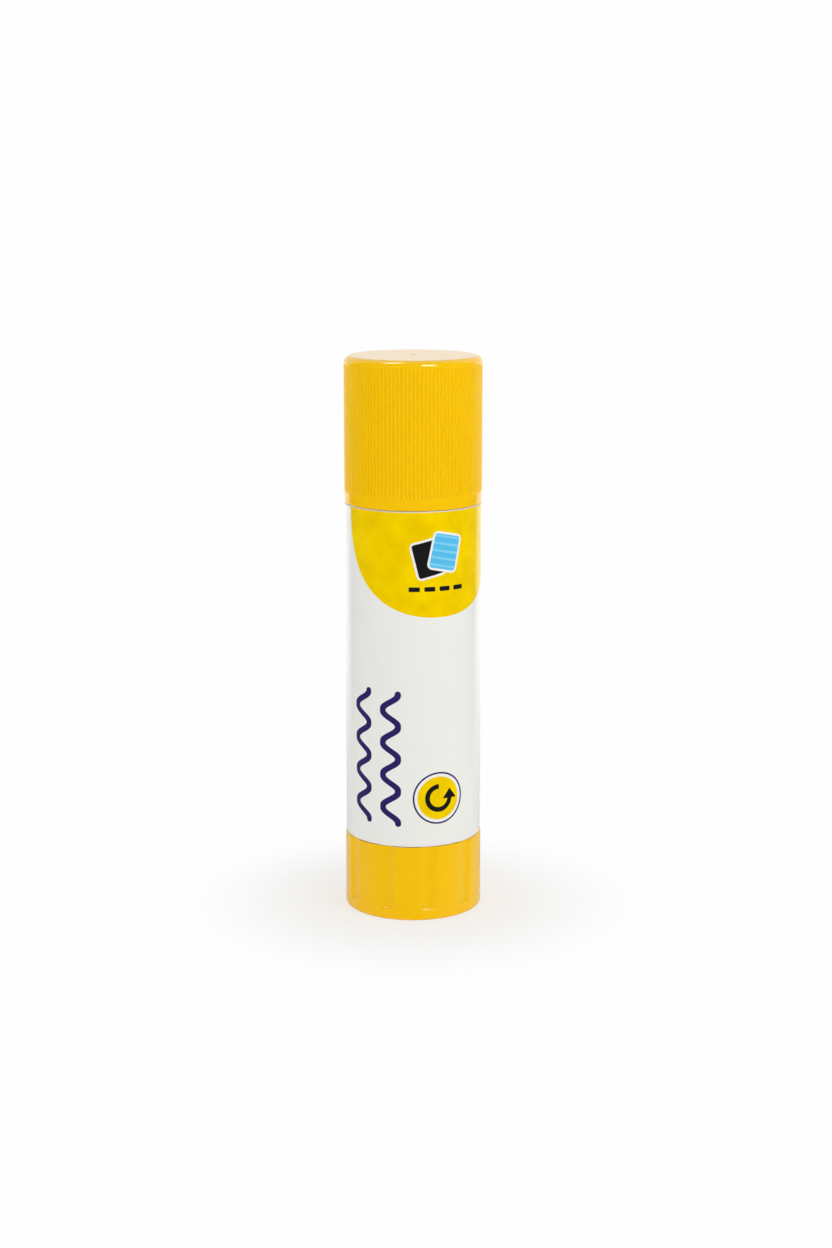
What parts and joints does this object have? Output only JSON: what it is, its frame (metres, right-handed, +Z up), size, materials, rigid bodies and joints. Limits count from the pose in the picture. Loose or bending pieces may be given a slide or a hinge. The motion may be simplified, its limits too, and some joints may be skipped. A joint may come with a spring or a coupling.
{
  "type": "glue stick",
  "caption": "Twist-up glue stick: a ribbed pull-off cap over a labelled barrel, and a fluted knob whose screw lifts a carrier that pushes the glue out.",
  "frame": {"origin": "centre of the foot, on the surface that the stick stands on", "axes": "+Z up along the stick's axis from the knob to the cap, -Y towards the viewer who faces the label's front"},
  "size_m": [0.025, 0.025, 0.1015],
  "materials": {
    "yellow_plastic": "glossy warm yellow moulded polypropylene",
    "white_plastic": "satin white moulded polypropylene",
    "printed_film": "white printed film label with a satin varnish",
    "glue_paste": "waxy off-white glue, slightly translucent"
  },
  "bodies": {
    "barrel": {"barrel": "white_plastic", "label": "printed_film"},
    "knob": {"knob": "yellow_plastic", "spindle": "white_plastic"},
    "carrier": {"carrier": "white_plastic", "glue": "glue_paste"},
    "cap": {"cap": "yellow_plastic"}
  },
  "joints": [
    {"name": "knob_turn", "type": "hinge", "parent": "barrel", "child": "knob", "pos_m": [0, 0, 0], "axis": [0, 0, 1], "range_deg": [0, 4680]},
    {"name": "carrier_slide", "type": "slide", "parent": "barrel", "child": "carrier", "axis": [0, 0, 1], "range_m": [0, 0.065]},
    {"name": "cap_slide", "type": "slide", "parent": "carrier", "child": "cap", "axis": [0, 0, 1], "range_m": [0, 0.035]}
  ],
  "couplings": [
    {"joint": "knob_turn", "follows": "carrier_slide", "rad_per_m": 1256.6}
  ]
}
